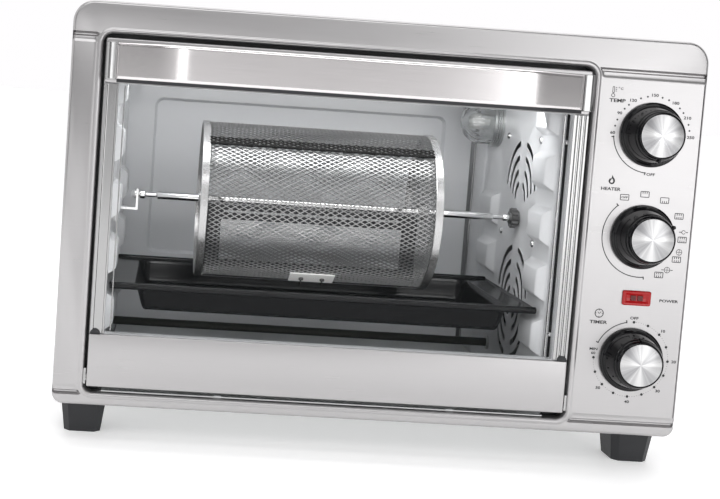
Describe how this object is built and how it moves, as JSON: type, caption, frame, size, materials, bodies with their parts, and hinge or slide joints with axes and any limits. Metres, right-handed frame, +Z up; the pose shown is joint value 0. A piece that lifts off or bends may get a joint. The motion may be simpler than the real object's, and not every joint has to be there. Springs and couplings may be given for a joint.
{
  "type": "rotisserie oven",
  "caption": "Countertop rotisserie oven: stainless front, drop-down glass door, round dials, mesh cage on a driven spit, baking tray and crumb tray on plastic feet.",
  "frame": {"origin": "on the surface the oven stands on, under the middle of its whole box", "axes": "+X to the right seen from the front, -Y out of the front towards the user, +Z up"},
  "size_m": [0.52, 0.388, 0.3585],
  "materials": {
    "stainless": "stainless steel brushed along X, fine grain",
    "polished_steel": "bright polished stainless strip",
    "cover_steel": "silver-grey painted sheet steel, satin",
    "galvanised_steel": "plain galvanised sheet",
    "grey_enamel": "light grey enamelled sheet, satin",
    "black_enamel": "glossy black enamel",
    "heater_sheath": "dark oxidised heater sheath",
    "dark_steel": "dark unpolished steel",
    "chrome_wire": "bright chrome plate",
    "cage_mesh": "chromed expanded diamond mesh",
    "spun_aluminium": "turned face with a radial sheen",
    "knob_plastic": "glossy black",
    "black_matte_plastic": "matte black",
    "foot_plastic": "fine-grained dark grey",
    "pilot_lens": "red translucent lens",
    "door_glass": "clear toughened glass",
    "lamp_glass": "clear ribbed glass",
    "lamp_bulb": "frosted bulb"
  },
  "bodies": {
    "oven": {"front_frame": "stainless", "control_panel": "stainless", "wrap_cover": "cover_steel", "rear_cover": "cover_steel", "cord_gland": "black_matte_plastic", "base_pan": "galvanised_steel", "foot_front_left": "foot_plastic", "foot_front_right": "foot_plastic", "foot_rear_left": "foot_plastic", "foot_rear_right": "foot_plastic", "cavity_left_wall": "grey_enamel", "cavity_right_wall": "grey_enamel", "cavity_back_wall": "grey_enamel", "cavity_ceiling": "grey_enamel", "cavity_floor": "grey_enamel", "cavity_front_flange": "grey_enamel", "heater_lower_front": "heater_sheath", "heater_lower_rear": "heater_sheath", "heater_upper_front": "heater_sheath", "heater_upper_rear": "heater_sheath", "oven_lamp_base": "galvanised_steel", "oven_lamp_glass": "lamp_glass", "oven_lamp_bulb": "lamp_bulb", "spit_hanger": "galvanised_steel", "spit_gearmotor": "galvanised_steel", "fan_motor": "dark_steel", "thermostat": "galvanised_steel", "function_switch": "black_matte_plastic", "timer": "galvanised_steel", "power_lamp_lens": "pilot_lens", "power_lamp_holder": "black_matte_plastic", "door_hinge_left": "polished_steel", "door_hinge_right": "polished_steel"},
    "door": {"door_frame": "grey_enamel", "door_lower_panel": "stainless", "door_top_panel": "stainless", "door_left_trim": "stainless", "door_right_trim": "stainless", "door_glass": "door_glass", "door_handle": "polished_steel", "handle_left_bracket": "polished_steel", "handle_right_bracket": "polished_steel"},
    "rotisserie": {"spit_rod": "chrome_wire", "spit_drive_socket": "dark_steel", "cage_left_end": "chrome_wire", "cage_right_end": "chrome_wire", "cage_drum": "cage_mesh", "cage_inner_frame": "dark_steel", "cage_hinge_wire": "chrome_wire"},
    "cage_lid": {"cage_door": "cage_mesh", "cage_latch": "chrome_wire"},
    "convection_fan": {"fan_impeller": "galvanised_steel"},
    "temperature_dial": {"temperature_knob": "knob_plastic", "temperature_knob_disc": "spun_aluminium"},
    "function_dial": {"function_knob": "knob_plastic", "function_knob_disc": "spun_aluminium"},
    "timer_dial": {"timer_knob": "knob_plastic", "timer_knob_disc": "spun_aluminium"},
    "drip_tray": {"baking_tray": "black_enamel"},
    "crumb_drawer": {"crumb_tray": "galvanised_steel"}
  },
  "joints": [
    {"name": "door_hinge", "type": "hinge", "parent": "oven", "child": "door", "pos_m": [-0.034, -0.16, 0.0505], "axis": [1, 0, 0], "range_deg": [0, 90], "stiffness_Nm_per_rad": 1.6, "springref_deg": -28.65},
    {"name": "spit_spin", "type": "hinge", "parent": "oven", "child": "rotisserie", "pos_m": [0, -0.036, 0.1935], "axis": [1, 0, 0], "continuous": true},
    {"name": "cage_door_hinge", "type": "hinge", "parent": "rotisserie", "child": "cage_lid", "pos_m": [-0.0355, -0.08489, 0.24704], "axis": [-1, 0, 0], "range_deg": [0, 35]},
    {"name": "fan_spin", "type": "hinge", "parent": "oven", "child": "convection_fan", "pos_m": [0.16, -0.036, 0.115], "axis": [1, 0, 0], "continuous": true},
    {"name": "temperature_turn", "type": "hinge", "parent": "oven", "child": "temperature_dial", "pos_m": [0.2174, -0.166, 0.2807], "axis": [0, 1, 0], "range_deg": [0, 270]},
    {"name": "function_turn", "type": "hinge", "parent": "oven", "child": "function_dial", "pos_m": [0.2174, -0.166, 0.1962], "axis": [0, 1, 0], "range_deg": [-87.6, 87.6]},
    {"name": "timer_turn", "type": "hinge", "parent": "oven", "child": "timer_dial", "pos_m": [0.2174, -0.166, 0.0934], "axis": [0, 1, 0], "range_deg": [0, 270]},
    {"name": "baking_tray_slide", "type": "slide", "parent": "oven", "child": "drip_tray", "axis": [0, -1, 0], "range_m": [0, 0.022]},
    {"name": "crumb_tray_slide", "type": "slide", "parent": "oven", "child": "crumb_drawer", "axis": [0, -1, 0], "range_m": [0, 0.22]}
  ]
}
